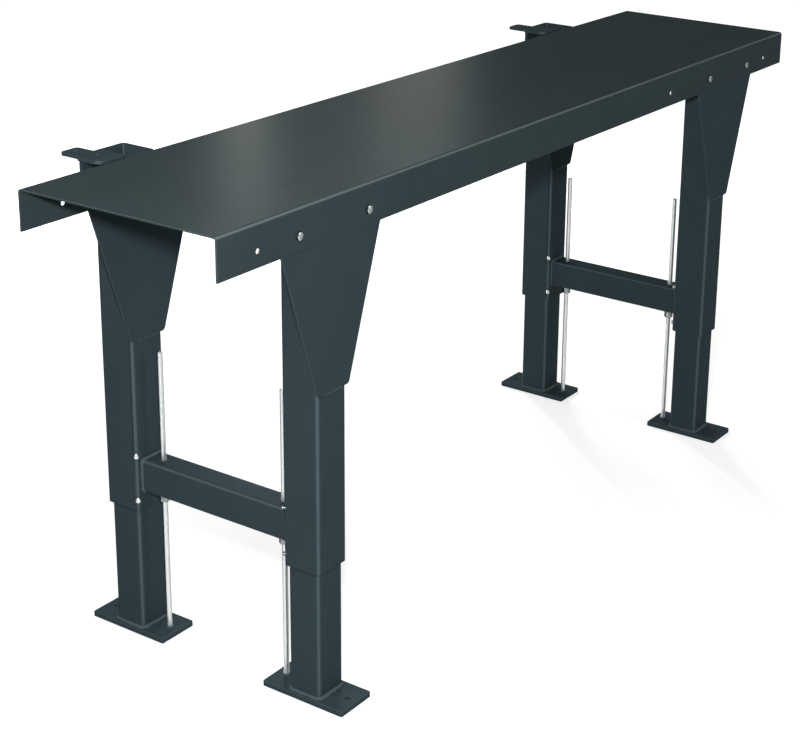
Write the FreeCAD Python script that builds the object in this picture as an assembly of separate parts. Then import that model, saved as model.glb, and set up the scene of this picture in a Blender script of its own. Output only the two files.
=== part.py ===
"""Outfeed table: a folded steel tray on two H-shaped leg frames that are set in height.

Millimetres, +Z up. X runs along the table, -Y is its front. The origin is on the floor, under
the middle of the tray's length and midway between the front and the rear legs.
"""
import FreeCAD, Part
import math
import os

from FreeCAD import Vector

# --- Table top: one folded sheet ------------------------------------------------------
tray_length = 1900.0
tray_depth = 406.0            # over both flanges
tray_height = 890.0           # top surface above the floor, with the feet at their middle setting
sheet = 3.0
flange_depth = 70.0
bend_radius = 3.0             # inside the folds
frame_end_distance = 270.0    # from each end to the middle of the leg frame
spare_hole_end_distance = 90.0    # from each end
spare_hole_reach = 255.0      # to the left of the right-hand leg frame

# --- Leg frames -----------------------------------------------------------------------
outer_side = 75.0
outer_length = 642.0
leg_wall = 4.0
leg_clearance = 1.0           # between the inner leg and each wall of the outer leg
inner_overlap = 315.0         # length of the inner leg that is inside the outer one
corner_walls = 2.0            # outside corner radius of every tube, in thicknesses of its wall

# --- Head plates, which the flanges are bolted to -------------------------------------
plate_thickness = 3.0
plate_width = 290.0           # along its top edge
plate_height = 320.0
plate_side_margin = 3.0       # how far its lower end stands out past the leg
plate_top_gap = 1.0           # below the fold of the tray
plate_corner = 8.0

# --- Crossbars ------------------------------------------------------------------------
crossbar_width = 50.0
crossbar_height = 60.0
crossbar_wall = 3.0
crossbar_lift = 34.0          # above the lower end of the outer legs

# --- Feet -----------------------------------------------------------------------------
foot_thickness = 10.0
foot_side_margin = 7.5        # past the inner leg
foot_end_margin = 20.0        # past the axes of the threaded rod and of the anchor hole
foot_corner = 3.0
foot_edge = 1.2               # rounding of its upper edge
anchor_hole = 11.0

# --- Threaded rods, M10 ---------------------------------------------------------------
rod_diameter = 10.0
rod_above_bar = 202.0         # upper end of the rod above the crossbar
rod_floor_gap = 2.0           # lower end of the rod above the floor
rod_offset = 28.0             # from the leg's face to the rod's axis
rod_chamfer = 1.0
rod_play = 1.0                # around the rod in the crossbar
rod_nut_flats = 17.0
rod_nut_height = 8.0
rod_washer_diameter = 20.0
rod_washer_thickness = 2.0
rod_washer_play = 0.5
thread_clearance = 0.05       # radial, between a thread and its nut or its tapped hole

# --- Head bolts, M8 -------------------------------------------------------------------
bolt_diameter = 8.0
bolt_play = 0.5               # around the bolt, in the sheet and in the head plate
bolt_offset = 87.0            # sideways from the middle of the leg
bolt_rise = 26.0              # above the lower edge of the flange
bolt_flats = 13.0
bolt_head_height = 5.3
bolt_nut_height = 6.5
bolt_proud = 3.0              # thread that shows past the nut
bolt_washer_diameter = 16.0
bolt_washer_thickness = 1.6
bolt_washer_play = 0.2

# --- Lock screws, M8, through one corner of each outer leg ----------------------------
lock_diameter = 8.0
lock_proud = 4.0              # stands out of the corner
lock_tip_gap = 0.3            # between its tip and the inner leg
lock_below_bar = 14.0         # axis of the lower screw below the crossbar
lock_above_bar = 10.0         # axis of the upper screw above it
lock_socket_flats = 4.0
lock_socket_depth = 4.0

# --- Lug plates on the rear legs ------------------------------------------------------
lug_thickness = 6.0
lug_reach = 57.0              # sideways from the leg
lug_body_depth = 55.0
lug_finger_width = 40.0
lug_finger_inset = 7.0        # from the body's left edge to the finger's left edge
lug_finger_end = 97.0         # behind the leg's front face
lug_outer_corner = 18.0
lug_finger_corner = 8.0
lug_inner_corner = 6.0
lug_finger_hole = 9.0
lug_finger_hole_inset = 16.0  # from the finger's end
lug_body_hole = 6.6
lug_body_hole_side = 26.0     # sideways from the leg
lug_body_hole_setback = 36.0  # behind the leg's front face
gusset_thickness = 6.0
gusset_setback = 46.0         # behind the leg's front face
gusset_height = 85.0
gusset_lip = 30.0             # height of its outer edge

# --- Worked out from the sizes above --------------------------------------------------
tray_underside = tray_height - sheet
flange_bottom = tray_height - flange_depth
frame_spacing = tray_length - 2 * frame_end_distance
leg_pitch = tray_depth - sheet
outer_bottom = tray_underside - outer_length
inner_side = outer_side - 2 * leg_wall - 2 * leg_clearance
leg_corner_radius = corner_walls * leg_wall
inner_top = outer_bottom + inner_overlap
plate_top = tray_underside - bend_radius - plate_top_gap
plate_bottom_width = outer_side + 2 * plate_side_margin
crossbar_bottom = outer_bottom + crossbar_lift
crossbar_top = crossbar_bottom + crossbar_height
crossbar_length = leg_pitch - outer_side
foot_width = inner_side + 2 * foot_side_margin
anchor_offset = outer_side / 2 + rod_offset
foot_length = 2 * (anchor_offset + foot_end_margin)
rod_radius = rod_diameter / 2
rod_length = crossbar_top + rod_above_bar - rod_floor_gap
rod_washer_bottom = crossbar_bottom - rod_washer_thickness
bolt_height = flange_bottom + bolt_rise
bolt_hole_radius = bolt_diameter / 2 + bolt_play
tray_front = -leg_pitch / 2 - outer_side / 2 - plate_thickness - sheet
lock_heights = {"lower": crossbar_bottom - lock_below_bar, "upper": crossbar_top + lock_above_bar}

frame_places = {"left": -frame_spacing / 2, "right": frame_spacing / 2}
outward = {"front": -1, "rear": 1}    # direction along Y away from the crossbar

UP = Vector(0, 0, 1)
REARWARD = Vector(0, 1, 0)
X_TO_Y_TO_Z = FreeCAD.Rotation(Vector(1, 1, 1), 120)    # turns x, y, z into y, z, x
STAND_UP = FreeCAD.Rotation(Vector(1, 0, 0), 90)        # turns y into z and z into -y


# --- Building blocks ------------------------------------------------------------------
def rounded_wire(corners):
    """Closed wire through flat corners (x, y, radius), each rounded by its own radius."""
    edges = []
    points = [Vector(x, y, 0) for x, y, _ in corners]
    ends = []
    for i, (_, _, radius) in enumerate(corners):
        corner = points[i]
        to_last = (points[i - 1] - corner).normalize()
        to_next = (points[(i + 1) % len(points)] - corner).normalize()
        half_angle = to_last.getAngle(to_next) / 2
        reach = radius / math.tan(half_angle)
        start = corner + to_last * reach
        end = corner + to_next * reach
        ends.append((start, end))
        if radius > 0:
            bisector = (to_last + to_next).normalize()
            middle = corner + bisector * (radius / math.sin(half_angle) - radius)
            edges.append(Part.Arc(start, middle, end).toShape())
    for i, (_, end) in enumerate(ends):
        next_start = ends[(i + 1) % len(ends)][0]
        if end.distanceToPoint(next_start) > 1e-6:
            edges.append(Part.LineSegment(end, next_start).toShape())
    return Part.Wire(Part.__sortEdges__(edges))


def plate(corners, thickness):
    """Flat plate with its outline in XY, from z = 0 up."""
    return Part.Face(rounded_wire(corners)).extrude(UP * thickness)


def rectangle(width, depth, corner):
    """Corners of a rectangle centred on the origin."""
    x = width / 2
    y = depth / 2
    return [(-x, -y, corner), (x, -y, corner), (x, y, corner), (-x, y, corner)]


def tube(width, depth, wall, length):
    """Hollow rectangular section, centred on the Z axis, from z = 0 up."""
    corner = corner_walls * wall
    outside = plate(rectangle(width, depth, corner), length)
    inside = plate(rectangle(width - 2 * wall, depth - 2 * wall, max(corner - wall, 0)), length)
    return outside.cut(inside)


def cylinder(radius, length, base, direction):
    return Part.makeCylinder(radius, length, base, direction)


def hexagon(flats, height):
    """Hexagonal prism with chamfered ends, from z = 0 up, flats facing +Y and -Y."""
    across_corners = flats / math.cos(math.pi / 6)
    points = []
    for i in range(6):
        angle = i * math.pi / 3
        x = across_corners / 2 * math.cos(angle)
        y = across_corners / 2 * math.sin(angle)
        points.append((x, y, 0))
    prism = plate(points, height)
    rise = (across_corners - flats) / 2 * math.tan(math.pi / 6)
    profile = [
        Vector(0, 0, 0),
        Vector(flats / 2, 0, 0),
        Vector(across_corners / 2, 0, rise),
        Vector(across_corners / 2, 0, height - rise),
        Vector(flats / 2, 0, height),
        Vector(0, 0, height),
    ]
    barrel = Part.Face(Part.makePolygon(profile + profile[:1])).revolve(Vector(), UP, 360)
    return prism.common(barrel)


def nut(flats, height, thread):
    """Hexagonal nut with a plain bore for its thread."""
    bore = cylinder(thread / 2 + thread_clearance, height, Vector(), UP)
    return hexagon(flats, height).cut(bore)


def washer(diameter, thickness, hole):
    return cylinder(diameter / 2, thickness, Vector(), UP).cut(cylinder(hole / 2, thickness, Vector(), UP))


def placed(shape, position, rotation=FreeCAD.Rotation()):
    """Copy of a shape, turned about the origin and then moved to a position."""
    moved = shape.copy()
    moved.Placement = FreeCAD.Placement(position, rotation).multiply(shape.Placement)
    return moved


def legs():
    """Name, frame, side and foot of the axis of each of the four legs."""
    for frame, x in frame_places.items():
        for side, direction in outward.items():
            yield f"{side}_{frame}", frame, side, Vector(x, direction * leg_pitch / 2, 0)


def leg_face(side, centre):
    """Y of the leg's face that looks at the crossbar."""
    return centre.y - outward[side] * outer_side / 2


def plate_front(centre):
    """Y of the front of a leg's head plate, where the flange of the tray lies on it."""
    return centre.y - outer_side / 2 - plate_thickness


def rod_axis(side, centre):
    """Foot of the axis of a leg's threaded rod."""
    return Vector(centre.x, leg_face(side, centre) - outward[side] * rod_offset, 0)


# --- The table top --------------------------------------------------------------------
def table_top():
    """Tray folded from one sheet, open at both ends, with bolt holes and spare holes."""
    front = tray_front
    rear = tray_front + tray_depth
    outer_bend = bend_radius + sheet
    section = [
        (front, flange_bottom, 0),
        (front, tray_height, outer_bend),
        (rear, tray_height, outer_bend),
        (rear, flange_bottom, 0),
        (rear - sheet, flange_bottom, 0),
        (rear - sheet, tray_underside, bend_radius),
        (front + sheet, tray_underside, bend_radius),
        (front + sheet, flange_bottom, 0),
    ]
    tray = placed(plate(section, tray_length), Vector(-tray_length / 2, 0, 0), X_TO_Y_TO_Z)
    hole_places = [
        spare_hole_end_distance - tray_length / 2,
        frame_places["right"] - spare_hole_reach,
        tray_length / 2 - spare_hole_end_distance,
    ]
    for x in frame_places.values():
        hole_places += [x - bolt_offset, x + bolt_offset]
    for x in hole_places:
        start = Vector(x, front - sheet, bolt_height)
        tray = tray.cut(cylinder(bolt_hole_radius, tray_depth + 2 * sheet, start, REARWARD))
    return tray


# --- Leg frames -----------------------------------------------------------------------
def lock_direction(side):
    """Level direction out of the corner that carries a leg's lock screws."""
    return Vector(-1, -outward[side], 0).normalize()


def corner_reach(side_length):
    """Distance from the middle of a square leg to its rounded corner, along the diagonal."""
    return (side_length / 2 - leg_corner_radius) * math.sqrt(2) + leg_corner_radius


def outer_leg(side, centre):
    """Square tube with two tapped holes in one corner."""
    leg = placed(tube(outer_side, outer_side, leg_wall, outer_length), centre + UP * outer_bottom)
    for height in lock_heights.values():
        start = centre + UP * height
        hole = cylinder(lock_diameter / 2 + thread_clearance, outer_side, start, lock_direction(side))
        leg = leg.cut(hole)
    return leg


def inner_leg(centre):
    length = inner_top - foot_thickness
    return placed(tube(inner_side, inner_side, leg_wall, length), centre + UP * foot_thickness)


def lock_screw(side, centre, height):
    """Set screw with a hexagon socket, from just off the inner leg out through the corner."""
    inner_end = corner_reach(inner_side) + lock_tip_gap
    outer_end = corner_reach(outer_side) + lock_proud
    length = outer_end - inner_end
    screw = cylinder(lock_diameter / 2, length, Vector(), UP)
    socket = placed(hexagon(lock_socket_flats, 2 * lock_socket_depth),
                    UP * (length - lock_socket_depth))
    screw = screw.cut(socket)
    direction = lock_direction(side)
    base = centre + direction * inner_end + UP * height
    return placed(screw, base, FreeCAD.Rotation(UP, direction))


def head_plate(centre):
    """Tapered plate on the front face of a leg, with its two bolt holes."""
    low = plate_top - plate_height
    outline = [
        (-plate_bottom_width / 2, low, plate_corner),
        (plate_bottom_width / 2, low, plate_corner),
        (plate_width / 2, plate_top, plate_corner),
        (-plate_width / 2, plate_top, plate_corner),
    ]
    rear_face = Vector(centre.x, centre.y - outer_side / 2, 0)
    shape = placed(plate(outline, plate_thickness), rear_face, STAND_UP)
    for x in (-bolt_offset, bolt_offset):
        start = Vector(centre.x + x, plate_front(centre) - plate_thickness, bolt_height)
        shape = shape.cut(cylinder(bolt_hole_radius, 3 * plate_thickness, start, REARWARD))
    return shape


def crossbar(x):
    """Rectangular tube between the two legs of a frame, with a hole for each threaded rod."""
    section = tube(crossbar_width, crossbar_height, crossbar_wall, crossbar_length)
    rear_end = Vector(x, crossbar_length / 2, (crossbar_bottom + crossbar_top) / 2)
    bar = placed(section, rear_end, STAND_UP)
    for side, direction in outward.items():
        start = rod_axis(side, Vector(x, direction * leg_pitch / 2, 0)) + UP * crossbar_bottom
        bar = bar.cut(cylinder(rod_radius + rod_play, crossbar_height, start, UP))
    return bar


# --- Feet -----------------------------------------------------------------------------
def foot_plate(side, centre):
    """Plate under an inner leg, with an anchor hole outside and a tapped hole for the rod inside."""
    foot = placed(plate(rectangle(foot_width, foot_length, foot_corner), foot_thickness), centre)
    upper_edges = [edge for edge in foot.Edges if edge.BoundBox.ZMin > foot_thickness / 2]
    foot = foot.makeFillet(foot_edge, upper_edges)
    anchor = centre + Vector(0, outward[side] * anchor_offset, 0)
    foot = foot.cut(cylinder(anchor_hole / 2, foot_thickness, anchor, UP))
    return foot.cut(cylinder(rod_radius + thread_clearance, foot_thickness, rod_axis(side, centre), UP))


def threaded_rod(side, centre):
    start = rod_axis(side, centre) + UP * rod_floor_gap
    shape = cylinder(rod_radius, rod_length, start, UP)
    ends = [edge for edge in shape.Edges if isinstance(edge.Curve, Part.Circle)]
    return shape.makeChamfer(rod_chamfer, ends)


def rod_nut(side, centre, place):
    """Nut on a threaded rod; place counts the nuts below the crossbar's washer from 1."""
    height = rod_washer_bottom - place * rod_nut_height
    shape = nut(rod_nut_flats, rod_nut_height, rod_diameter)
    return placed(shape, rod_axis(side, centre) + UP * height)


def rod_washer(side, centre):
    shape = washer(rod_washer_diameter, rod_washer_thickness, rod_diameter + 2 * rod_washer_play)
    return placed(shape, rod_axis(side, centre) + UP * rod_washer_bottom)


# --- Head bolts -----------------------------------------------------------------------
def head_bolt():
    """Hexagon bolt along +Z, with the underside of its head at z = 0."""
    grip = sheet + plate_thickness + bolt_washer_thickness + bolt_nut_height + bolt_proud
    shank = cylinder(bolt_diameter / 2, grip, Vector(), UP)
    return placed(hexagon(bolt_flats, bolt_head_height), UP * -bolt_head_height).fuse(shank)


def head_washer():
    """Washer behind the head plate, along the bolt's +Z."""
    shape = washer(bolt_washer_diameter, bolt_washer_thickness, bolt_diameter + 2 * bolt_washer_play)
    return placed(shape, UP * (sheet + plate_thickness))


def head_nut():
    """Nut behind the washer, along the bolt's +Z."""
    shape = nut(bolt_flats, bolt_nut_height, bolt_diameter)
    return placed(shape, UP * (sheet + plate_thickness + bolt_washer_thickness))


def at_head_bolts(shape, frame):
    """Copies of a fastener at the four head bolts of one leg frame, pointing rearward."""
    copies = []
    for _, leg_frame, _, centre in legs():
        if leg_frame == frame:
            for x in (-bolt_offset, bolt_offset):
                place = Vector(centre.x + x, plate_front(centre) - sheet, bolt_height)
                turned = placed(shape, Vector(), FreeCAD.Rotation(UP, REARWARD))
                turned.translate(place)
                copies.append(turned)
    return Part.makeCompound(copies)


# --- Lug plates -----------------------------------------------------------------------
def lug_plate(centre):
    """Flat lug on the leg's left wall: a wide body, and a finger with a hole that points rearward."""
    finger_left = -lug_reach + lug_finger_inset
    finger_right = finger_left + lug_finger_width
    outline = [
        (-lug_reach, 0, lug_outer_corner),
        (leg_wall, 0, 0),
        (leg_wall, lug_body_depth, 0),
        (finger_right, lug_body_depth, lug_inner_corner),
        (finger_right, lug_finger_end, lug_finger_corner),
        (finger_left, lug_finger_end, lug_finger_corner),
        (finger_left, lug_body_depth, 0),
        (-lug_reach, lug_body_depth - lug_finger_inset, 0),
    ]
    finger_middle = finger_left + lug_finger_width / 2
    finger_hole = Vector(finger_middle, lug_finger_end - lug_finger_hole_inset, 0)
    body_hole = Vector(-lug_body_hole_side, lug_body_hole_setback, 0)
    lug = plate(outline, lug_thickness)
    lug = lug.cut(cylinder(lug_finger_hole / 2, lug_thickness, finger_hole, UP))
    lug = lug.cut(cylinder(lug_body_hole / 2, lug_thickness, body_hole, UP))
    return placed(lug, leg_corner(centre) + UP * tray_underside)


def lug_gusset(centre):
    """Upright plate under the lug, on the leg's left face."""
    reach = lug_reach - lug_finger_inset
    outline = [
        (-reach, -gusset_lip, 0),
        (0, -gusset_height, 0),
        (0, 0, 0),
        (-reach, 0, 0),
    ]
    rear_face = leg_corner(centre) + Vector(0, gusset_setback + gusset_thickness, tray_underside)
    return placed(plate(outline, gusset_thickness), rear_face, STAND_UP)


def leg_corner(centre):
    """Floor point under the front left corner of a leg's square section."""
    return centre - Vector(outer_side / 2, outer_side / 2, 0)


# --- Assembly -------------------------------------------------------------------------
def build():
    """Every node of the table, by name."""
    nodes = {"table_top": table_top()}
    for name, _, side, centre in legs():
        nodes[f"outer_leg_{name}"] = outer_leg(side, centre)
        nodes[f"head_plate_{name}"] = head_plate(centre)
        nodes[f"inner_leg_{name}"] = inner_leg(centre)
        nodes[f"foot_plate_{name}"] = foot_plate(side, centre)
        nodes[f"threaded_rod_{name}"] = threaded_rod(side, centre)
        nodes[f"adjusting_nut_{name}"] = rod_nut(side, centre, 1)
        nodes[f"lock_nut_{name}"] = rod_nut(side, centre, 2)
        for level, height in lock_heights.items():
            nodes[f"{level}_lock_screw_{name}"] = lock_screw(side, centre, height)
        if side == "rear":
            nodes[f"lug_plate_{name}"] = lug_plate(centre)
            nodes[f"lug_gusset_{name}"] = lug_gusset(centre)
    for frame, x in frame_places.items():
        nodes[f"crossbar_{frame}"] = crossbar(x)
        nodes[f"rod_washers_{frame}"] = Part.makeCompound(
            [rod_washer(side, centre) for _, leg_frame, side, centre in legs() if leg_frame == frame])
        nodes[f"head_bolts_{frame}"] = at_head_bolts(head_bolt(), frame)
        nodes[f"head_washers_{frame}"] = at_head_bolts(head_washer(), frame)
        nodes[f"head_nuts_{frame}"] = at_head_bolts(head_nut(), frame)
    return nodes


os.makedirs("parts", exist_ok=True)
for node, shape in build().items():
    shape.exportStep(f"parts/{node}.step")
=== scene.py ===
# %% [markdown]
# # A steel outfeed table
#
# The table is a long folded steel tray on two leg frames. Its CAD model comes in as a fixed
# frame: every tube, plate, nut and screw is already there at its true size. This script gives
# those pieces their powder coat and zinc plate, and adds what a CAD model leaves out: threads,
# weld beads and rounded edges. Every length is in metres.

import bmesh
import bpy
import math
from mathutils import Matrix, Vector


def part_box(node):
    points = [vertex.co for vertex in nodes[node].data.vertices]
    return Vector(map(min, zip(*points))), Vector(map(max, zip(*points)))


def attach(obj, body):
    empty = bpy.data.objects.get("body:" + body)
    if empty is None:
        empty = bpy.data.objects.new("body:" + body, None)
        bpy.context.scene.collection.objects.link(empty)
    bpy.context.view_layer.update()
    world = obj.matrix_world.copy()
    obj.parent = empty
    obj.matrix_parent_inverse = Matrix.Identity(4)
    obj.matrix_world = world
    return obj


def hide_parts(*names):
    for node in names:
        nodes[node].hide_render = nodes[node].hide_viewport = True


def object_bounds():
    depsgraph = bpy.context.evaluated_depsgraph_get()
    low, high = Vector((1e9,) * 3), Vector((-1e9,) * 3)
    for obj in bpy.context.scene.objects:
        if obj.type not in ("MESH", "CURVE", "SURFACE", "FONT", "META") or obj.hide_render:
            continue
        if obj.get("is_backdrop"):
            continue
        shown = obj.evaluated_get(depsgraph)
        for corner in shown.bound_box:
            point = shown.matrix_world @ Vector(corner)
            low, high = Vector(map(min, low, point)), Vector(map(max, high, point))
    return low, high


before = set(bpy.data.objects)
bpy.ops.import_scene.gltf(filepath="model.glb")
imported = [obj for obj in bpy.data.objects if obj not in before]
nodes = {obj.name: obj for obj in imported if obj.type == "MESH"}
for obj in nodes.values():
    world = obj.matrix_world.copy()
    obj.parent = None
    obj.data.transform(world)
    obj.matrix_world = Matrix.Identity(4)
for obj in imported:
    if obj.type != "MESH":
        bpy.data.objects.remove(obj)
cad_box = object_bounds()

# %% [markdown]
# ## Camera
#
# The view looks down on the table from its front left, so the near leg frame is large and the
# far one small. A camera is a place, a direction and a lens. The two shifts slide the picture
# without turning the camera, so upright tubes keep the slight lean that they have from here.

# %% Camera
PICTURE_WIDTH = 800
PICTURE_HEIGHT = 729
FOCAL_PIXELS = 1804.37
SENSOR_WIDTH = 36    # millimetres
OPTICAL_CENTRE = (484.14, 237.25)
CAMERA_PLACE = Vector((-2.77924, -1.90533, 1.68608))
LOOKS_RIGHT = Vector((0.55508, -0.83155, 0.02037))
LOOKS_UP = Vector((0.24443, 0.18647, 0.95157))

camera_data = bpy.data.cameras.new("camera")
camera = bpy.data.objects.new("camera", camera_data)
bpy.context.scene.collection.objects.link(camera)
bpy.context.scene.camera = camera
back = LOOKS_RIGHT.cross(LOOKS_UP)
turn = Matrix((LOOKS_RIGHT, LOOKS_UP, back)).transposed().to_4x4()
camera.matrix_world = Matrix.Translation(CAMERA_PLACE) @ turn
camera_data.sensor_width = SENSOR_WIDTH
camera_data.lens = FOCAL_PIXELS * SENSOR_WIDTH / PICTURE_WIDTH
camera_data.shift_x = (PICTURE_WIDTH / 2 - OPTICAL_CENTRE[0]) / PICTURE_WIDTH
camera_data.shift_y = (OPTICAL_CENTRE[1] - PICTURE_HEIGHT / 2) / PICTURE_WIDTH
print("lens:", round(camera_data.lens, 1), "mm")

# %% [markdown]
# ## Writing node trees
#
# Materials, the sky and geometry nodes are all trees of nodes. One small helper adds a node,
# sets its options and fills its sockets, either with a value or with another node's output.
# Two more write a sum and a change of range, which every tree below needs many times.

# %% A helper that adds a node
def add_node(tree, kind, inputs=None, **options):
    node = tree.nodes.new(kind)
    for name, value in options.items():
        setattr(node, name, value)
    for name, value in (inputs or {}).items():
        socket = node.inputs[name]
        if isinstance(value, bpy.types.NodeSocket):
            tree.links.new(value, socket)
        else:
            socket.default_value = value
    return node


print("Blender", bpy.app.version_string)

# %% Helpers for sums and ranges in a node tree
def calculate(tree, operation, first, second=0.0, third=0.0):
    values = {0: first, 1: second, 2: third}
    return add_node(tree, "ShaderNodeMath", values, operation=operation).outputs[0]


def map_range(tree, value, from_range, to_range=(0.0, 1.0), smooth=False):
    inputs = {"Value": value, "From Min": from_range[0], "From Max": from_range[1],
              "To Min": to_range[0], "To Max": to_range[1]}
    kind = "SMOOTHSTEP" if smooth else "LINEAR"
    return add_node(tree, "ShaderNodeMapRange", inputs, interpolation_type=kind).outputs["Result"]


print("helpers:", add_node.__name__, calculate.__name__, map_range.__name__)

# %% [markdown]
# ## Powder coat
#
# Powder coat is paint that is melted onto the steel, so it flows into a skin with a very fine
# orange peel. Three things sell it: two close greys that drift into each other, a roughness
# that isn't the same everywhere, and a bump about one millimetre across. Object coordinates
# keep the grain the same size on a long tray and on a short gusset. The coat is also painted
# lighter where the surface's normal points between two axes, where a tube or sheet turns a
# corner: a painted highlight on the bends, which also stands for the thinner paint there.
#
# Its gloss comes from a trace of Metallic instead of the usual specular layer. That layer turns
# into a mirror at a flat view angle, and the far end of a long table is seen just so. The trace
# of metal keeps the same soft shine from near to far. The tray, the feet and the welds get
# coats of their own: the tray a brighter painted highlight on its folds, the feet a lighter
# colour that paints the light on their tops, and the welds bright speckles that paint glints.

# %% Start a material
def start_material(name):
    material = bpy.data.materials.new(name)
    material.use_nodes = True
    tree = material.node_tree
    shader = tree.nodes["Principled BSDF"]
    place = add_node(tree, "ShaderNodeTexCoord").outputs["Object"]
    return material, tree, shader, place


print("materials so far:", len(bpy.data.materials))

# %% Mix two colours
MIX_FIRST = 6      # a Mix node has sockets for numbers, vectors and colours, all with one name,
MIX_SECOND = 7     # so those for colours are found by their numbers
MIX_RESULT = 2


def with_alpha(colour):
    return colour if isinstance(colour, bpy.types.NodeSocket) else (*colour, 1)


def mix_colours(tree, amount, first, second):
    inputs = {"Factor": amount, MIX_FIRST: with_alpha(first), MIX_SECOND: with_alpha(second)}
    return add_node(tree, "ShaderNodeMix", inputs, data_type="RGBA").outputs[MIX_RESULT]


print("a colour with its alpha:", with_alpha((0.5, 0.5, 0.5)))

# %% Noise between two values
NOISE_RANGE = (0.3, 0.7)    # noise rarely leaves this range, so it is spread to the full one


def noise(tree, place, scale, detail=2.0, roughness=0.5):
    inputs = {"Vector": place, "Scale": scale, "Detail": detail, "Roughness": roughness}
    return add_node(tree, "ShaderNodeTexNoise", inputs).outputs["Fac"]


def spread(tree, value, low, high):
    return map_range(tree, value, NOISE_RANGE, (low, high))


def bumps(tree, height, strength, distance):
    inputs = {"Height": height, "Strength": strength, "Distance": distance}
    return add_node(tree, "ShaderNodeBump", inputs).outputs["Normal"]


print("noise is spread from", NOISE_RANGE)

# %% Where a surface bends
BEND_RANGE = (0.01, 0.22)    # how far the normal leans away from an axis, from none to full
STANDS_UP = 0.2              # a normal with less height than this is that of an upright surface


# mask for the painted highlight: where a surface bends, the coat is painted lighter
def bend_highlight_mask(tree, upright):
    """0 on flat sides, 1 where the surface turns from one flat side to the next.

    With upright = 0 a surface that stands straight up, such as a hole's wall, counts as flat."""
    facing = add_node(tree, "ShaderNodeTexCoord").outputs["Normal"]
    positive = add_node(tree, "ShaderNodeVectorMath", {0: facing}, operation="ABSOLUTE").outputs[0]
    x, y, z = add_node(tree, "ShaderNodeSeparateXYZ", {0: positive}).outputs
    largest = calculate(tree, "MAXIMUM", calculate(tree, "MAXIMUM", x, y), z)
    tilt = calculate(tree, "SUBTRACT", 1.0, largest)
    counts = calculate(tree, "MAXIMUM", calculate(tree, "GREATER_THAN", z, STANDS_UP), upright)
    return map_range(tree, calculate(tree, "MULTIPLY", tilt, counts), BEND_RANGE, smooth=True)


print("full strength at", round(math.degrees(math.acos(1 - BEND_RANGE[1]))), "degrees")

# %% Powder coat
COAT_SHINE = 0.02
DRIFT_SCALE = 9.0         # patches about 110 mm across
GLOSS_SCALE = 60.0        # 17 mm
SPECKLE_SCALE = 420.0     # 2.4 mm
PEEL_SCALE = 850.0        # 1.2 mm
PEEL_STRENGTH = 0.18
PEEL_DEPTH = 0.0003


def powder_coat(name, dark, light, edge_highlight, roughness, upright=1.0, grain_and_glint_spots=0.12):
    material, tree, shader, place = start_material(name)
    drift = spread(tree, noise(tree, place, DRIFT_SCALE, 3.0, 0.6), 0.0, 1.0)
    # fine random tone in the paint; on the welds it is strong enough to paint bright glints
    speckle = spread(tree, noise(tree, place, SPECKLE_SCALE, 2.0, 0.6), -grain_and_glint_spots, grain_and_glint_spots)
    paint = mix_colours(tree, calculate(tree, "ADD", drift, speckle), dark, light)
    # the edge colour on bends is a painted highlight, also standing for thinner paint there
    colour = mix_colours(tree, bend_highlight_mask(tree, upright), paint, edge_highlight)
    gloss = spread(tree, noise(tree, place, GLOSS_SCALE, 3.0), *roughness)
    peel = bumps(tree, noise(tree, place, PEEL_SCALE), PEEL_STRENGTH, PEEL_DEPTH)
    shader.inputs["Specular IOR Level"].default_value = 0.0
    shader.inputs["Metallic"].default_value = COAT_SHINE
    tree.links.new(colour, shader.inputs["Base Color"])
    tree.links.new(gloss, shader.inputs["Roughness"])
    tree.links.new(peel, shader.inputs["Normal"])
    return material


coat = powder_coat("powder_coat", (0.030, 0.0455, 0.053), (0.033, 0.050, 0.058),
                   (0.060, 0.090, 0.102), (0.24, 0.32))
# the tray's brighter edge colour is a painted highlight along its folds
tray_coat = powder_coat("tray_coat", (0.031, 0.0455, 0.0495), (0.034, 0.050, 0.0545),
                        (0.104, 0.132, 0.138), (0.27, 0.285))
# the feet are painted a little lighter than the other coat: painted light for their brighter tops
foot_coat = powder_coat("foot_coat", (0.034, 0.051, 0.059), (0.038, 0.057, 0.066),
                        (0.060, 0.090, 0.102), (0.26, 0.34), upright=0.0)
# the welds' bright speckles are painted glints
weld_coat_painted_glints = powder_coat("weld_coat_painted_glints", (0.026, 0.040, 0.047), (0.105, 0.135, 0.142),
                        (0.066, 0.090, 0.098), (0.16, 0.26), grain_and_glint_spots=0.7)
print("materials:", coat.name, tray_coat.name, foot_coat.name, weld_coat_painted_glints.name)

# %% [markdown]
# ## Bright zinc plate
#
# Zinc plate is a thin metal skin, so the shader's Metallic is 1 and its colour is that of its
# reflections. A mottled tint, small scratches and a roughness that varies keep nuts and rods
# from looking like chrome. In a white room bright metal would vanish against the walls, so the
# colour is painted darker where the plate turns away from the eye, a painted dark reflection.
# Layer Weight gives that angle, and it paints the dark outline that a photographer gets with
# black cards beside the metal. Nuts and washers get a darker copy, painted shade for where they
# sit.

# %% Bright zinc
MOTTLE_SCALE = 260.0
BRUSH_SCALE = 700.0
SCRATCH_SCALES = (2600.0, 2600.0, 500.0)    # five times as long as wide
SCRATCH_STRENGTH = 0.25
SCRATCH_DEPTH = 0.0001
RIM_RANGE = (0.30, 0.65)    # from facing the eye to turned away


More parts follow.
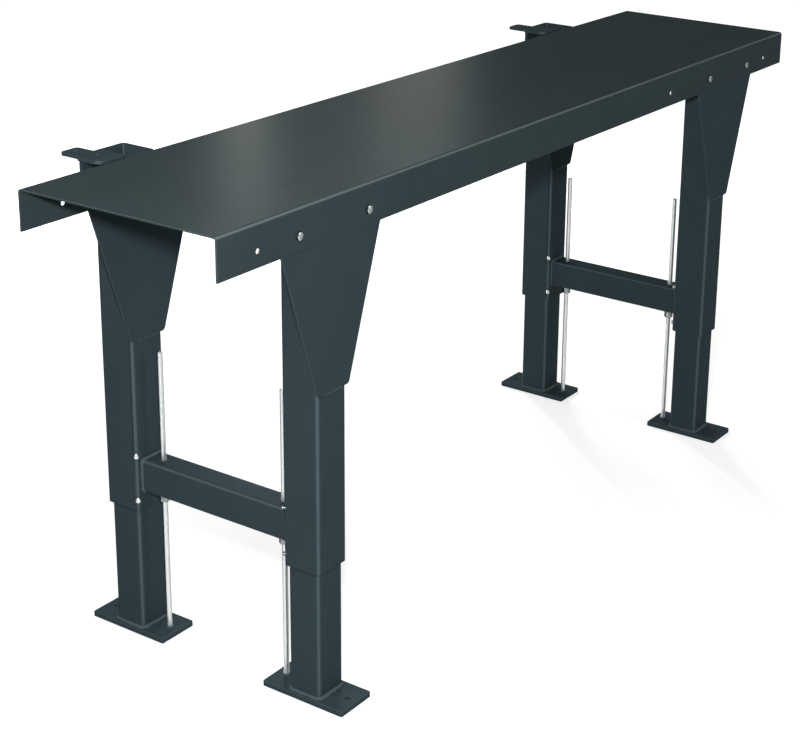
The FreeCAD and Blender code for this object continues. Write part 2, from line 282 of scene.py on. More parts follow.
def zinc_plate(name, dark, light, dark_rim_reflection, roughness):
    material, tree, shader, place = start_material(name)
    mottle = spread(tree, noise(tree, place, MOTTLE_SCALE, 4.0, 0.65), 0.0, 1.0)
    plate = mix_colours(tree, mottle, dark, light)
    # the rim colour is a painted dark reflection where the plate turns away from the eye
    turned_away = add_node(tree, "ShaderNodeLayerWeight", {"Blend": 0.5}).outputs["Facing"]
    at_rim = map_range(tree, turned_away, RIM_RANGE, smooth=True)
    gloss = spread(tree, noise(tree, place, BRUSH_SCALE, 3.0), *roughness)
    mapping = add_node(tree, "ShaderNodeMapping", {"Vector": place, "Scale": SCRATCH_SCALES})
    scratches = noise(tree, mapping.outputs["Vector"], 1.0, 3.0, 0.7)
    shader.inputs["Metallic"].default_value = 1.0
    tree.links.new(mix_colours(tree, at_rim, plate, dark_rim_reflection), shader.inputs["Base Color"])
    tree.links.new(gloss, shader.inputs["Roughness"])
    tree.links.new(bumps(tree, scratches, SCRATCH_STRENGTH, SCRATCH_DEPTH), shader.inputs["Normal"])
    return material


zinc = zinc_plate("bright_zinc", (0.20, 0.22, 0.225), (0.52, 0.55, 0.56),
                  (0.04, 0.048, 0.052), (0.22, 0.36))
# a darker copy of the zinc for nuts and washers: painted shade
nut_zinc_painted_shade = zinc_plate("nut_zinc_painted_shade", (0.13, 0.145, 0.15), (0.34, 0.36, 0.37),
                      (0.03, 0.036, 0.04), (0.20, 0.34))
rod_zinc = zinc_plate("rod_zinc", (0.78, 0.81, 0.82), (0.93, 0.95, 0.95),
                      (0.035, 0.042, 0.045), (0.30, 0.42))
print("materials:", zinc.name, nut_zinc_painted_shade.name, rod_zinc.name)

# %% [markdown]
# ## Dress the CAD pieces
#
# Real plates and tubes have no knife edges. The CAD solids do, so each gets a live Bevel. Their
# meshes are loose triangles, so a Weld modifier joins them first, and a Decimate modifier melts
# the triangles of each flat side into one face, which keeps the shading of long sides clean.
# The rounded edges then catch the painted highlight that the coat has on its bends.

# %% Which pieces are zinc
FASTENER_WORDS = ("nut", "washer", "bolt", "screw", "threaded")


def is_fastener(name):
    return any(word in name for word in FASTENER_WORDS)


def skin(name):
    """Each piece's material: one of the zincs or one of the coats."""
    if is_fastener(name):
        return nut_zinc_painted_shade if "nut" in name or "washer" in name else zinc
    if name == "table_top":
        return tray_coat
    return foot_coat if name.startswith("foot_plate") else coat


print("fasteners:", sum(is_fastener(name) for name in nodes))

# %% Materials and rounded edges
EDGE_ROUNDING = 0.0006
FASTENER_ROUNDING = 0.0003
WELD_DISTANCE = 0.000002
FLAT_ANGLE = math.radians(0.5)      # faces closer than this are one flat side
SHARP_ANGLE = math.radians(35)      # edges sharper than this are rounded

for name, node in nodes.items():
    for slot in node.material_slots:
        slot.link = "OBJECT"
        slot.material = skin(name)
    weld = node.modifiers.new("join_triangles", "WELD")
    weld.merge_threshold = WELD_DISTANCE
    flat = node.modifiers.new("flat_sides", "DECIMATE")
    flat.decimate_type = "DISSOLVE"
    flat.angle_limit = FLAT_ANGLE
    bevel = node.modifiers.new("rounded_edges", "BEVEL")
    bevel.width = FASTENER_ROUNDING if is_fastener(name) else EDGE_ROUNDING
    bevel.segments = 2
    bevel.limit_method = "ANGLE"
    bevel.angle_limit = SHARP_ANGLE
    bevel.use_clamp_overlap = False
    shading = node.modifiers.new("even_shading", "WEIGHTED_NORMAL")
    shading.keep_sharp = False
print("dressed:", len(nodes))

# %% [markdown]
# ## Pieces made with geometry nodes
#
# Threads and weld beads both follow a rule, so geometry nodes make them. Each tree has named
# sizes. A modifier finds an input by the socket's identifier, so one helper looks it up. The
# result is copied into a plain mesh, because only that travels with the model.

# %% Start and end a geometry tree
SOCKET_KINDS = {int: "NodeSocketInt", float: "NodeSocketFloat", bool: "NodeSocketBool"}


def start_geometry(name, sizes):
    tree = bpy.data.node_groups.new(name, "GeometryNodeTree")
    tree.interface.new_socket("Geometry", in_out="INPUT", socket_type="NodeSocketGeometry")
    for size, value in sizes.items():
        kind = SOCKET_KINDS[type(value)]
        tree.interface.new_socket(size, in_out="INPUT", socket_type=kind).default_value = value
    tree.interface.new_socket("Finish", in_out="INPUT", socket_type="NodeSocketMaterial")
    tree.interface.new_socket("Geometry", in_out="OUTPUT", socket_type="NodeSocketGeometry")
    return tree, add_node(tree, "NodeGroupInput").outputs


def end_geometry(tree, group, geometry):
    whole = add_node(tree, "GeometryNodeRealizeInstances", {"Geometry": geometry})
    painted = add_node(tree, "GeometryNodeSetMaterial",
                       {"Geometry": whole.outputs[0], "Material": group["Finish"]})
    add_node(tree, "NodeGroupOutput", {"Geometry": painted.outputs[0]})


print("socket kinds:", len(SOCKET_KINDS))

# %% Run a geometry tree and keep its mesh
def empty_mesh():
    return bpy.data.meshes.new("start")


def run_tree(tree, start_mesh, finish, sizes):
    maker = bpy.data.objects.new("maker", start_mesh)
    bpy.context.scene.collection.objects.link(maker)
    modifier = maker.modifiers.new("maker", "NODES")
    modifier.node_group = tree
    identifiers = {item.name: item.identifier for item in tree.interface.items_tree
                   if item.item_type == "SOCKET" and item.in_out == "INPUT"}
    modifier[identifiers["Finish"]] = finish
    for size, value in sizes.items():
        modifier[identifiers[size]] = value
    depsgraph = bpy.context.evaluated_depsgraph_get()
    mesh = bpy.data.meshes.new_from_object(maker.evaluated_get(depsgraph), depsgraph=depsgraph)
    bpy.data.objects.remove(maker)
    return mesh


print("geometry trees so far:", len(bpy.data.node_groups))

# %% Tidy a mesh: join doubles and turn every face outwards
DOUBLES_DISTANCE = 0.000005


def tidy(mesh, move=None):
    work = bmesh.new()
    work.from_mesh(mesh)
    bmesh.ops.remove_doubles(work, verts=work.verts, dist=DOUBLES_DISTANCE)
    bmesh.ops.dissolve_degenerate(work, edges=work.edges, dist=DOUBLES_DISTANCE)
    if move is not None:
        bmesh.ops.transform(work, matrix=move, verts=work.verts)
    bmesh.ops.recalc_face_normals(work, faces=work.faces)
    work.to_mesh(mesh)
    work.free()
    return mesh


print("points closer than", DOUBLES_DISTANCE * 1000, "mm are joined")

# %% Put a finished piece on its body
METAL_SHARP_ANGLE = 28    # degrees; edges sharper than this stay crisp on threads and heads


def add_piece(name, mesh, body, sharp_angle=None):
    piece = bpy.data.objects.new(name, mesh)
    bpy.context.scene.collection.objects.link(piece)
    mesh.shade_smooth()
    if sharp_angle is not None:
        mesh.set_sharp_from_angle(angle=math.radians(sharp_angle))
    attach(piece, body)
    return piece


def join_meshes(name, meshes):
    work = bmesh.new()
    for mesh in meshes:
        work.from_mesh(mesh)
    joined = bpy.data.meshes.new(name)
    for material in meshes[0].materials:
        joined.materials.append(material)
    work.to_mesh(joined)
    work.free()
    return joined


# %% [markdown]
# ## Screw threads
#
# A thread is a small trapezium swept along a helix. The tree starts from a flat grid: one way
# runs along the helix, the other across the thread's profile, from root to crest and back. Each
# point is then lifted to its angle, height and radius. Heights are clamped to the screw's two
# ends, and the radius to a cone there, which cuts the chamfered ends for free.

# %% The thread's tree
PROFILE_PLACES = (0.0, 0.25, 0.5625, 0.6875, 1.0)    # in pitches along the axis
CREST_COLUMN = 2.5      # the two points of the crest are numbers 2 and 3
CREST_REACH = 0.6
PROFILE_POINTS = len(PROFILE_PLACES)

thread_tree, group = start_geometry("screw_thread", {
    "Radius": 0.005, "Depth": 0.0009, "Pitch": 0.0015, "Length": 0.1, "Chamfer": 0.001,
    "Sides": 16, "Open Top": False})
tree = thread_tree
turns = calculate(tree, "CEIL", calculate(tree, "DIVIDE", group["Length"], group["Pitch"]))
rows = calculate(tree, "MULTIPLY_ADD", calculate(tree, "ADD", turns, 1.0), group["Sides"], 1.0)
grid = add_node(tree, "GeometryNodeMeshGrid", {"Vertices X": rows, "Vertices Y": PROFILE_POINTS})
index = add_node(tree, "GeometryNodeInputIndex").outputs[0]
middle_of_point = calculate(tree, "ADD", index, 0.5)    # keeps rounding errors out of the row
row = calculate(tree, "FLOOR", calculate(tree, "DIVIDE", middle_of_point, PROFILE_POINTS))
column = calculate(tree, "SUBTRACT", index, calculate(tree, "MULTIPLY", row, PROFILE_POINTS))
turned = calculate(tree, "DIVIDE", row, group["Sides"])
print("profile points:", PROFILE_POINTS)

# %% Height and radius of each point of the thread
switch = add_node(tree, "GeometryNodeIndexSwitch", data_type="FLOAT")
while len(switch.index_switch_items) < PROFILE_POINTS:
    switch.index_switch_items.new()
tree.links.new(column, switch.inputs["Index"])
for i, place in enumerate(PROFILE_PLACES):
    switch.inputs[i + 1].default_value = place    # input 0 is the column's number
along = calculate(tree, "SUBTRACT", calculate(tree, "ADD", turned, switch.outputs[0]), 1.0)
raw_height = calculate(tree, "MULTIPLY", along, group["Pitch"])
height = calculate(tree, "MINIMUM", calculate(tree, "MAXIMUM", raw_height, 0.0), group["Length"])
on_crest = calculate(tree, "COMPARE", column, CREST_COLUMN, CREST_REACH)
root = calculate(tree, "SUBTRACT", group["Radius"], group["Depth"])
radius = calculate(tree, "MULTIPLY_ADD", on_crest, group["Depth"], root)
to_end = calculate(tree, "MINIMUM", height, calculate(tree, "SUBTRACT", group["Length"], height))
tip = calculate(tree, "SUBTRACT", group["Radius"], group["Chamfer"])
radius = calculate(tree, "MINIMUM", radius, calculate(tree, "ADD", tip, to_end))
angle = calculate(tree, "MULTIPLY", turned, 2 * math.pi)
spot = add_node(tree, "ShaderNodeCombineXYZ", {
    "X": calculate(tree, "MULTIPLY", radius, calculate(tree, "COSINE", angle)),
    "Y": calculate(tree, "MULTIPLY", radius, calculate(tree, "SINE", angle)),
    "Z": height})
print("thread tree so far:", len(thread_tree.nodes), "nodes")

# %% Close the thread's ends
helix = add_node(tree, "GeometryNodeSetPosition",
                 {"Geometry": grid.outputs["Mesh"], "Position": spot.outputs[0]}).outputs[0]
disc = add_node(tree, "GeometryNodeMeshCircle", {"Vertices": group["Sides"], "Radius": tip},
                fill_type="NGON").outputs[0]
top_place = add_node(tree, "ShaderNodeCombineXYZ", {"Z": group["Length"]}).outputs[0]
top = add_node(tree, "GeometryNodeTransform",
               {"Geometry": disc, "Translation": top_place}).outputs[0]
no_mesh = add_node(tree, "GeometryNodeJoinGeometry").outputs[0]    # nothing joined, so empty
lid = add_node(tree, "GeometryNodeSwitch",
               {"Switch": group["Open Top"], "False": top, "True": no_mesh},
               input_type="GEOMETRY").outputs[0]
whole = add_node(tree, "GeometryNodeJoinGeometry")
for part in (helix, disc, lid):
    tree.links.new(part, whole.inputs[0])
end_geometry(tree, group, whole.outputs[0])
print("thread tree:", len(thread_tree.nodes), "nodes")

# %% [markdown]
# ## Threaded rods
#
# Each foot has one stud that carries the table's weight. At this distance its thread is barely
# one pixel high, but it is what gives the stud its broken, silvery shine. It replaces the plain
# cylinder of the CAD model and rides on its foot.

# %% Threaded rods
legs = [name.removeprefix("threaded_rod_") for name in nodes if name.startswith("threaded_rod_")]
for leg in legs:
    low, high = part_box(f"threaded_rod_{leg}")
    sizes = {"Radius": (high.x - low.x) / 2, "Length": high.z - low.z}
    mesh = run_tree(thread_tree, empty_mesh(), rod_zinc, sizes)
    place = Matrix.Translation(((low.x + high.x) / 2, (low.y + high.y) / 2, low.z))
    rod = add_piece(f"threaded_rod_mesh_{leg}", tidy(mesh, place), f"foot_{leg}",
                    METAL_SHARP_ANGLE)
    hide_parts(f"threaded_rod_{leg}")
    print(rod.name, len(mesh.polygons), "faces")

# %% [markdown]
# ## Meshes from rings
#
# Heads, sockets and tips are turned or pressed shapes. Each can be written as a stack of rings
# with the same number of corners, round or six-sided, joined by faces.

# %% Join rings into a surface
RING_CORNERS = 48


def surface_from_rings(name, rings):
    """Each ring gives a radius and a height for an angle; the first and last are closed."""
    work = bmesh.new()
    loops = []
    for ring in rings:
        loop = []
        for i in range(RING_CORNERS):
            angle = 2 * math.pi * i / RING_CORNERS
            radius, height = ring(angle)
            point = (radius * math.cos(angle), radius * math.sin(angle), height)
            loop.append(work.verts.new(point))
        loops.append(loop)
    for lower, upper in zip(loops, loops[1:]):
        for i in range(RING_CORNERS):
            j = (i + 1) % RING_CORNERS
            work.faces.new((lower[i], lower[j], upper[j], upper[i]))
    mesh = bpy.data.meshes.new(name)
    work.to_mesh(mesh)
    work.free()
    return mesh


print("corners of a ring:", RING_CORNERS)

# %% Round and six-sided rings
SIXTH_TURN = math.pi / 3


def hexagon_radius(flats, angle):
    within = (angle % SIXTH_TURN) - SIXTH_TURN / 2
    return flats / 2 / math.cos(within)


def round_ring(radius, height):
    return lambda angle: (radius, height)


def six_sided_ring(flats, height):
    return lambda angle: (hexagon_radius(flats, angle), height)


print("a hexagon's corner is", round(hexagon_radius(2.0, 0.0), 3), "times as far out as its flat")

# %% [markdown]
# ## Lock screws
#
# Two set screws per leg go through one corner of the outer tube. The short end that shows has
# a few turns of M8 thread, a chamfer and a socket for a hexagon key.

# %% Lock screw shape
M8_THREAD = {"Radius": 0.004, "Depth": 0.00077, "Pitch": 0.00125, "Chamfer": 0.0008}
SOCKET_FLATS = 0.004
SOCKET_DEPTH = 0.004
SOCKET_FLARE = 1.1           # the mouth of the socket is this much wider
SOCKET_FLARE_DEPTH = 0.0003
SOCKET_CONE = 0.0008         # what the drill left below the flats


def lock_screw_mesh(length):
    sizes = {**M8_THREAD, "Length": length, "Sides": RING_CORNERS, "Open Top": True}
    thread = run_tree(thread_tree, empty_mesh(), zinc, sizes)
    socket = surface_from_rings("socket", [
        round_ring(M8_THREAD["Radius"] - M8_THREAD["Chamfer"], length),
        six_sided_ring(SOCKET_FLATS * SOCKET_FLARE, length),
        six_sided_ring(SOCKET_FLATS, length - SOCKET_FLARE_DEPTH),
        six_sided_ring(SOCKET_FLATS, length - SOCKET_DEPTH),
        round_ring(0.0, length - SOCKET_DEPTH - SOCKET_CONE)])
    return join_meshes("lock_screw", [thread, socket])


print("hexagon key for the lock screws:", SOCKET_FLATS * 1000, "mm")

# %% Lock screws
SCREW_NODES = [name for name in nodes if "lock_screw" in name]
for name in SCREW_NODES:
    leg_low, leg_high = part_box("outer_leg_" + name.split("lock_screw_")[1])
    middle = (leg_low + leg_high) / 2
    low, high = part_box(name)
    centre = (low + high) / 2
    direction = Vector((centre.x - middle.x, centre.y - middle.y, 0)).normalized()
    # a cylinder laid at 45 degrees: its box is its length and its diameter, both on the slant
    length = (high.x - low.x) * math.sqrt(2) - 2 * M8_THREAD["Radius"]
    turn = Vector((0, 0, 1)).rotation_difference(direction).to_matrix().to_4x4()
    place = Matrix.Translation(centre - direction * length / 2) @ turn
    mesh = tidy(lock_screw_mesh(length), place)
    screw = add_piece(name + "_mesh", mesh, name, METAL_SHARP_ANGLE)
    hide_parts(name)
print("lock screws:", len(SCREW_NODES), "length", round(length * 1000, 2), "mm")

# %% [markdown]
# ## Head bolts
#
# A hexagon bolt's head is a prism whose corners are turned off to a cone, which leaves the
# curved lines on its six sides. The head, its washer face and the thread that shows past the
# nut are one mesh, and a tree sets a copy at each hole of the leg frame.

# %% Bolt shape
HEAD_FLATS = 0.013
HEAD_HEIGHT = 0.0053
HEAD_ROUNDING = 0.00035
HEAD_CROWN = HEAD_FLATS * 0.475           # radius of the flat on top of the head
HEAD_SLOPE = math.tan(math.radians(30))   # of the cone that turns off the corners
FACE_RADIUS = HEAD_FLATS * 0.47
FACE_HEIGHT = 0.0002                      # of the washer face under the head


def side_ring(inset, height, slope=0.0):
    """A six-sided ring whose corners sink along the cone."""
    def ring(angle):
        radius = hexagon_radius(HEAD_FLATS, angle) - inset
        return radius, height + max(0.0, radius - HEAD_CROWN) * slope
    return ring


def bolt_mesh(length):
    top = -HEAD_HEIGHT
    shoulder = top + HEAD_ROUNDING / 3
    head = surface_from_rings("bolt_head", [
        round_ring(0.0, top),
        round_ring(HEAD_CROWN - HEAD_ROUNDING, top),
        round_ring(HEAD_CROWN, shoulder),
        side_ring(0.0, shoulder, HEAD_SLOPE),
        side_ring(0.0, -2 * FACE_HEIGHT),
        side_ring(HEAD_ROUNDING, -FACE_HEIGHT),
        round_ring(FACE_RADIUS, -FACE_HEIGHT),
        round_ring(FACE_RADIUS, 0.0),
        round_ring(0.0, 0.0)])
    sizes = {**M8_THREAD, "Length": length, "Sides": RING_CORNERS // 2}
    shank = run_tree(thread_tree, empty_mesh(), zinc, sizes)
    return tidy(join_meshes("head_bolt", [tidy(head), tidy(shank)]))


print("spanner for the head bolts:", HEAD_FLATS * 1000, "mm")

# %% The tree that sets copies at points
copy_tree, group = start_geometry("copies_at_points", {})
copy_tree.interface.new_socket("Copied", in_out="INPUT", socket_type="NodeSocketObject")
model = add_node(copy_tree, "GeometryNodeObjectInfo", {"Object": group["Copied"]})
points = add_node(copy_tree, "GeometryNodeMeshToPoints", {"Mesh": group["Geometry"]})
copies = add_node(copy_tree, "GeometryNodeInstanceOnPoints",
                  {"Points": points.outputs[0], "Instance": model.outputs["Geometry"]})
end_geometry(copy_tree, group, copies.outputs[0])
print("copy tree:", len(copy_tree.nodes), "nodes")

# %% Where the head bolts sit
BOLT_SPACING = 0.03    # corners of one bolt lie closer together than this


def clusters(values, gap):
    """Middles of the groups that a list of numbers falls into."""
    groups = []
    for value in sorted(values):
        if groups and value - groups[-1][-1] < gap:
            groups[-1].append(value)
        else:
            groups.append([value])
    return [(group[0] + group[-1]) / 2 for group in groups]


def bolt_places(name):
    """Underside of each head, read from the corners of the CAD bolts."""
    corners = [vertex.co for vertex in nodes[name].data.vertices]
    low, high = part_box(name)
    across = clusters([corner.x for corner in corners], BOLT_SPACING)
    middle = (low + high) / 2
    front_tip = max(corner.y for corner in corners if corner.y < middle.y)
    front = low.y + HEAD_HEIGHT
    length = front_tip - low.y - HEAD_HEIGHT
    rear = high.y - length
    return [(x, y, middle.z) for x in across for y in (front, rear)], length


print("bolts of the left frame:", len(bolt_places("head_bolts_left")[0]))

# %% Head bolts
REARWARD = Matrix.Rotation(math.radians(-90), 4, "X")    # turns +Z into +Y

for side in ("left", "right"):
    name = f"head_bolts_{side}"
    places, length = bolt_places(name)
    start = bpy.data.meshes.new("bolt_points")
    start.from_pydata(places, [], [])
    pattern = bpy.data.objects.new("bolt_pattern", bolt_mesh(length))
    pattern.data.transform(REARWARD)
    bpy.context.scene.collection.objects.link(pattern)
    mesh = run_tree(copy_tree, start, zinc, {"Copied": pattern})
    bpy.data.objects.remove(pattern)
    bolts = add_piece(f"head_bolts_mesh_{side}", mesh, "frame", METAL_SHARP_ANGLE)
    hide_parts(name)
    print(bolts.name, len(places), "bolts", round(length * 1000, 2), "mm long")

# %% [markdown]
# ## Weld beads
#
# Every joint of the frames is welded and then painted over. A bead is a tube laid along the
# joint, half buried in the steel, with the small crescent ripples that the welder's steps leave.
# The tree resamples the path finely, gives it a radius that waves along its length, and sweeps
# a circle along it. Noise keeps two ripples from being alike.

# %% The weld bead's tree
UNEVENNESS_SCALE = 90.0     # the bead swells and shrinks over about a centimetre
PHASE_WANDER = 6.0          # radians by which a ripple may come early or late
SWELL = 0.5

weld_tree, group = start_geometry("weld_bead", {
    "Bead": 0.003, "Ripple": 0.0024, "Wave": 0.10, "Step": 0.0006, "Sides": 10, "Seed": 4.0})
tree = weld_tree
path = add_node(tree, "GeometryNodeMeshToCurve", {"Mesh": group["Geometry"]}).outputs[0]
fine = add_node(tree, "GeometryNodeResampleCurve", {"Curve": path, "Length": group["Step"]},
                mode="LENGTH").outputs[0]
travel = add_node(tree, "GeometryNodeSplineParameter").outputs["Length"]
phase = calculate(tree, "MULTIPLY", calculate(tree, "DIVIDE", travel, group["Ripple"]), 2 * math.pi)
position = add_node(tree, "GeometryNodeInputPosition").outputs[0]
inputs = {"Vector": position, "W": group["Seed"], "Scale": UNEVENNESS_SCALE, "Detail": 2.0}
wander = add_node(tree, "ShaderNodeTexNoise", inputs, noise_dimensions="4D")
uneven = calculate(tree, "SUBTRACT", wander.outputs["Fac"], 0.5)
print("weld tree so far:", len(weld_tree.nodes), "nodes")

# %% Sweep the bead
phase = calculate(tree, "MULTIPLY_ADD", uneven, PHASE_WANDER, phase)
wave = calculate(tree, "MULTIPLY", calculate(tree, "SINE", phase), group["Wave"])
swell = calculate(tree, "MULTIPLY_ADD", uneven, SWELL, calculate(tree, "ADD", wave, 1.0))
radius = calculate(tree, "MULTIPLY", swell, group["Bead"])
ring = add_node(tree, "GeometryNodeCurvePrimitiveCircle",
                {"Resolution": group["Sides"], "Radius": 1.0}).outputs[0]
swept = add_node(tree, "GeometryNodeCurveToMesh",
                 {"Curve": fine, "Profile Curve": ring, "Scale": radius, "Fill Caps": True})
end_geometry(tree, group, swept.outputs[0])
print("weld tree:", len(weld_tree.nodes), "nodes")

# %% Paths for the beads
CORNER_STEPS = 5


def path_mesh(paths):
    """One mesh of open and closed runs; each path is (points, closed)."""
    vertices, edges = [], []
    for points, closed in paths:
        first = len(vertices)
        vertices += points
        edges += [(first + i, first + i + 1) for i in range(len(points) - 1)]
        if closed:
            edges.append((len(vertices) - 1, first))
    mesh = bpy.data.meshes.new("paths")
    mesh.from_pydata(vertices, edges, [])
    return mesh


def rounded_rectangle(width, depth, corner):
    points = []
    for turn, (x, y) in enumerate(((1, 1), (-1, 1), (-1, -1), (1, -1))):
        for i in range(CORNER_STEPS + 1):
            angle = math.radians(90 * (turn + i / CORNER_STEPS))
            points.append((x * (width / 2 - corner) + corner * math.cos(angle),
                           y * (depth / 2 - corner) + corner * math.sin(angle)))
    return points


def lay_welds(name, body, paths, bead):
    mesh = run_tree(weld_tree, path_mesh(paths), weld_coat_painted_glints, {"Bead": bead})
    return add_piece(name, tidy(mesh), body)


print("points round a tube:", len(rounded_rectangle(0.1, 0.1, 0.01)))

# %% Welds at the feet
LEG_CORNER = 0.008
FOOT_BEAD = 0.0042
ROD_BEAD = 0.0024
ROD_RING_POINTS = 24

for leg in legs:
    tube_low, tube_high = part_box(f"inner_leg_{leg}")
    rod_low, rod_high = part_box(f"threaded_rod_{leg}")
    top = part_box(f"foot_plate_{leg}")[1].z
    middle = (tube_low + tube_high) / 2
    width = tube_high.x - tube_low.x
    corners = rounded_rectangle(width, width, LEG_CORNER)
    outline = [(middle.x + x, middle.y + y, top) for x, y in corners]
    rod_middle = (rod_low + rod_high) / 2
    rod_radius = (rod_high.x - rod_low.x) / 2
    angles = [2 * math.pi * i / ROD_RING_POINTS for i in range(ROD_RING_POINTS)]
    ring = [(rod_middle.x + rod_radius * math.cos(angle),
             rod_middle.y + rod_radius * math.sin(angle), top) for angle in angles]
    foot_weld = lay_welds(f"foot_weld_{leg}", f"foot_{leg}", [(outline, True)], FOOT_BEAD)
    rod_weld = lay_welds(f"rod_weld_{leg}", f"foot_{leg}", [(ring, True)], ROD_BEAD)
    print(foot_weld.name, len(foot_weld.data.polygons), "faces")
    print(rod_weld.name, len(rod_weld.data.polygons), "faces")

# %% Welds at the crossbars
BAR_CORNER = 0.006
BAR_BEAD = 0.0032

for side in ("left", "right"):
    low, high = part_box(f"crossbar_{side}")
    middle = (low + high) / 2
    outline = rounded_rectangle(high.x - low.x, high.z - low.z, BAR_CORNER)
    ends = [([(middle.x + x, y, middle.z + z) for x, z in outline], True) for y in (low.y, high.y)]
    bar_welds = lay_welds(f"crossbar_welds_{side}", "frame", ends, BAR_BEAD)
    print(bar_welds.name, len(ends), "beads,", len(bar_welds.data.polygons), "faces")

# %% Stitch welds behind the head plates
PLATE_BEAD = 0.0028
STITCHES = ((0.02, 0.07), (0.135, 0.185), (0.25, 0.30))    # up from the plate's lower edge

for leg in legs:
    plate_low, plate_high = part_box(f"head_plate_{leg}")
    leg_low, leg_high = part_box(f"outer_leg_{leg}")
    runs = []
    for x in (leg_low.x, leg_high.x):
        for stitch in STITCHES:
            runs.append(([(x, plate_high.y, plate_low.z + end) for end in stitch], False))
    across = (leg_high.x - leg_low.x) / 2 - 2 * LEG_CORNER
    middle = (leg_low.x + leg_high.x) / 2
    ends = (middle - across, middle + across)
    runs.append(([(x, plate_high.y, plate_low.z) for x in ends], False))
    plate_welds = lay_welds(f"head_plate_welds_{leg}", "frame", runs, PLATE_BEAD)
    print(plate_welds.name, len(runs), "beads,", len(plate_welds.data.polygons), "faces")

# %% Welds under the lugs
LUG_BEAD = 0.0026
BARE_END = 0.004    # a bead stops this short of a free corner

for side in ("left", "right"):
    leg_low, leg_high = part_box(f"outer_leg_rear_{side}")
    lug_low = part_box(f"lug_plate_rear_{side}")[0]
    gusset_low, gusset_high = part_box(f"lug_gusset_rear_{side}")
    runs = []
    for y in (gusset_low.y, gusset_high.y):
        inner_corner = (leg_low.x, y, gusset_high.z)
        runs.append(([(leg_low.x, y, gusset_low.z + BARE_END), inner_corner], False))
        runs.append(([(gusset_low.x + BARE_END, y, gusset_high.z), inner_corner], False))
    ends = (leg_low.y + 2 * LEG_CORNER, gusset_low.y)
    runs.append(([(leg_low.x, y, lug_low.z) for y in ends], False))
    lug_welds = lay_welds(f"lug_welds_{side}", "frame", runs, LUG_BEAD)
    print(lug_welds.name, len(runs), "beads,", len(lug_welds.data.polygons), "faces")

# %% [markdown]
# ## Floor, sky and lamps
#
# A plain white studio: the floor is pale and catches the table's shadow, and the sky is white
# where the camera, a reflection or glass looks at it but much weaker as a lamp, so the coat
# keeps its colour. The floor glows a little less near the table than far away, which leaves
# room for the shadow and still meets the sky without a line.
#
# A small lamp at the near end makes what is near brighter than what is far. A wider one hangs
# over that end, a third fills the far leg frame from the front, and a fourth stands low behind
# the table, below the level of its top, for whoever walks round it.

# %% Floor
FLOOR_SIZE = 40
FLOOR_GREY = 0.6

bpy.ops.mesh.primitive_plane_add(size=FLOOR_SIZE)
floor = bpy.context.object
floor.name = "floor"
floor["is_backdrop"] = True
floor_paint = bpy.data.materials.new("floor_white")
floor_paint.use_nodes = True
tree = floor_paint.node_tree
shader = tree.nodes["Principled BSDF"]
shader.inputs["Base Color"].default_value = (FLOOR_GREY, FLOOR_GREY, FLOOR_GREY, 1)
shader.inputs["Roughness"].default_value = 0.9
shader.inputs["Specular IOR Level"].default_value = 0.1
shader.inputs["Emission Color"].default_value = (1, 1, 1, 1)
floor.data.materials.append(floor_paint)
print("floor:", tuple(floor.dimensions))

# %% The floor's glow
GLOW_DISTANCES = (1.0, 3.6)    # metres from the middle of the table
GLOW_RANGE = (0.60, 1.0)


def seen_directly(tree):
    """1 for camera, glossy and transmission rays, 0 for light that bounces off paint."""
    rays = add_node(tree, "ShaderNodeLightPath").outputs
    camera_or_gloss = calculate(tree, "MAXIMUM", rays["Is Camera Ray"], rays["Is Glossy Ray"])
    return calculate(tree, "MAXIMUM", camera_or_gloss, rays["Is Transmission Ray"])


place = add_node(tree, "ShaderNodeTexCoord").outputs["Object"]
away = add_node(tree, "ShaderNodeVectorMath", {0: place}, operation="LENGTH").outputs["Value"]
brightness = map_range(tree, away, GLOW_DISTANCES, GLOW_RANGE, smooth=True)
glow = calculate(tree, "MULTIPLY", seen_directly(tree), brightness)
tree.links.new(glow, shader.inputs["Emission Strength"])
print("glow:", GLOW_RANGE)

# %% Sky
SKY_LIGHT = 0.08

sky = bpy.data.worlds.new("sky")
bpy.context.scene.world = sky
sky.use_nodes = True
tree = sky.node_tree
background = tree.nodes["Background"]
background.inputs["Color"].default_value = (1, 1, 1, 1)
strength = calculate(tree, "MULTIPLY_ADD", seen_directly(tree), 1.0 - SKY_LIGHT, SKY_LIGHT)
tree.links.new(strength, background.inputs["Strength"])
print("sky light:", SKY_LIGHT)

# %% Lamps
def soft_lamp(name, place, aim, width, height, power):
    lamp_data = bpy.data.lights.new(name, "AREA")
    lamp_data.shape = "RECTANGLE"
    lamp_data.size = width
    lamp_data.size_y = height
    lamp_data.energy = power
    lamp = bpy.data.objects.new(name, lamp_data)
    bpy.context.scene.collection.objects.link(lamp)
    lamp.location = place
    lamp.rotation_euler = (aim - Vector(place)).to_track_quat("-Z", "Y").to_euler()
    lamp.visible_camera = False
    return lamp


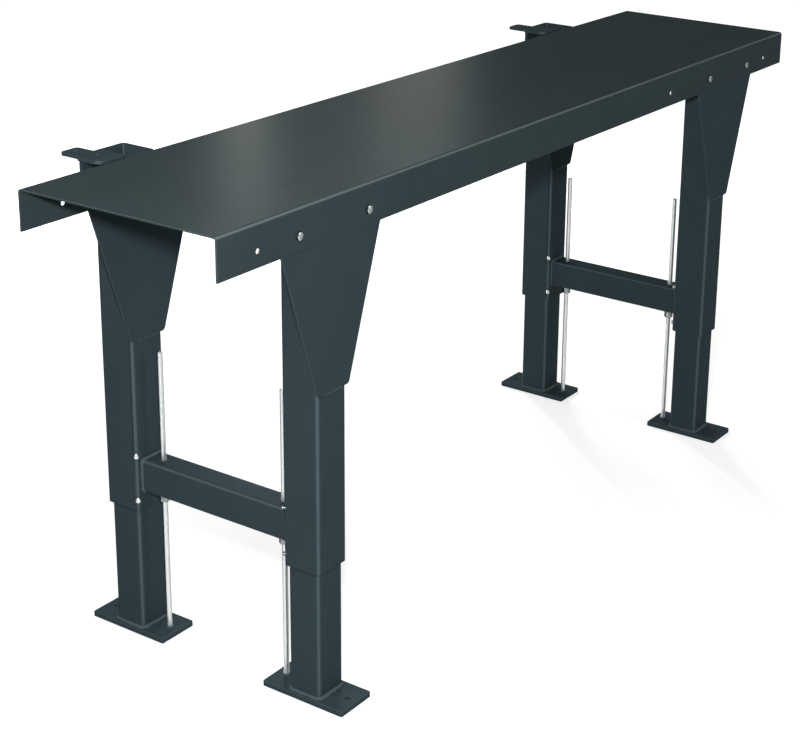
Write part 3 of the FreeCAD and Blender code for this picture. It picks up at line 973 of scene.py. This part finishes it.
MIDDLE = Vector((0.0, 0.0, 0.6))
near_lamp = soft_lamp("near_lamp", (-2.4, -1.55, 1.7), MIDDLE, 0.15, 0.15, 69.0)
end_lamp = soft_lamp("end_lamp", (-1.6, 0.2, 1.9), MIDDLE, 0.8, 0.8, 11.0)
fill_lamp = soft_lamp("fill_lamp", (0.8, -2.6, 1.6), Vector((0.6, 0.0, 0.6)), 1.2, 1.2, 23.0)
back_lamp = soft_lamp("back_lamp", (0.4, 2.6, 0.45), Vector((0.1, 0.0, 0.45)), 2.4, 0.7, 32.0)
print("lamps:", near_lamp.name, end_lamp.name, fill_lamp.name, back_lamp.name)

# %% [markdown]
# ## Strips of light for the table top
#
# A flat top seen at a low angle is a dim mirror, and without something to mirror it looks dead.
# Tall, narrow lamps far behind the table, like the lit gaps between curtains, draw the pale
# bands that run across it. Each strip is given by the directions between which the camera would
# see it, and its power follows from its size, so that all strips are written as brightnesses.

# %% Upright strips of light behind the table
STRIP_DISTANCE = 7.0    # from the camera
STRIP_HEIGHT = 2.2      # from lower to upper end
STRIP_MIDDLE = 2.1      # up from the floor
STRIP_COLOUR = (1.0, 0.99, 0.92)


def light_strip(name, from_angle, to_angle, brightness):
    """A strip between two directions from the camera, in degrees from +X towards +Y."""
    middle = math.radians((from_angle + to_angle) / 2)
    width = STRIP_DISTANCE * math.radians(abs(to_angle - from_angle))
    place = Vector((CAMERA_PLACE.x + STRIP_DISTANCE * math.cos(middle),
                    CAMERA_PLACE.y + STRIP_DISTANCE * math.sin(middle), STRIP_MIDDLE))
    aim = Vector((CAMERA_PLACE.x, CAMERA_PLACE.y, STRIP_MIDDLE))
    power = brightness * math.pi * width * STRIP_HEIGHT
    strip = soft_lamp(name, place, aim, width, STRIP_HEIGHT, power)
    strip.data.color = STRIP_COLOUR
    return strip


strips = [light_strip("narrow_strip", 40.7, 41.7, 52.0),
          light_strip("broad_strip", 34.2, 37.0, 19.0),
          light_strip("faint_strip", 37.0, 39.2, 5.0)]
print("strips:", len(strips))

# %% [markdown]
# ## Finish
#
# The Standard view keeps colours as they are written. The two boxes are printed, to show
# that threads and welds stay inside the CAD model's size.

# %% Sizes
bpy.context.scene.view_settings.view_transform = "Standard"
looks_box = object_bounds()
sizes = {"cad": [list(corner) for corner in cad_box],
         "looks": [list(corner) for corner in looks_box]}
print("CAD box:", sizes["cad"])
print("looks box:", sizes["looks"])
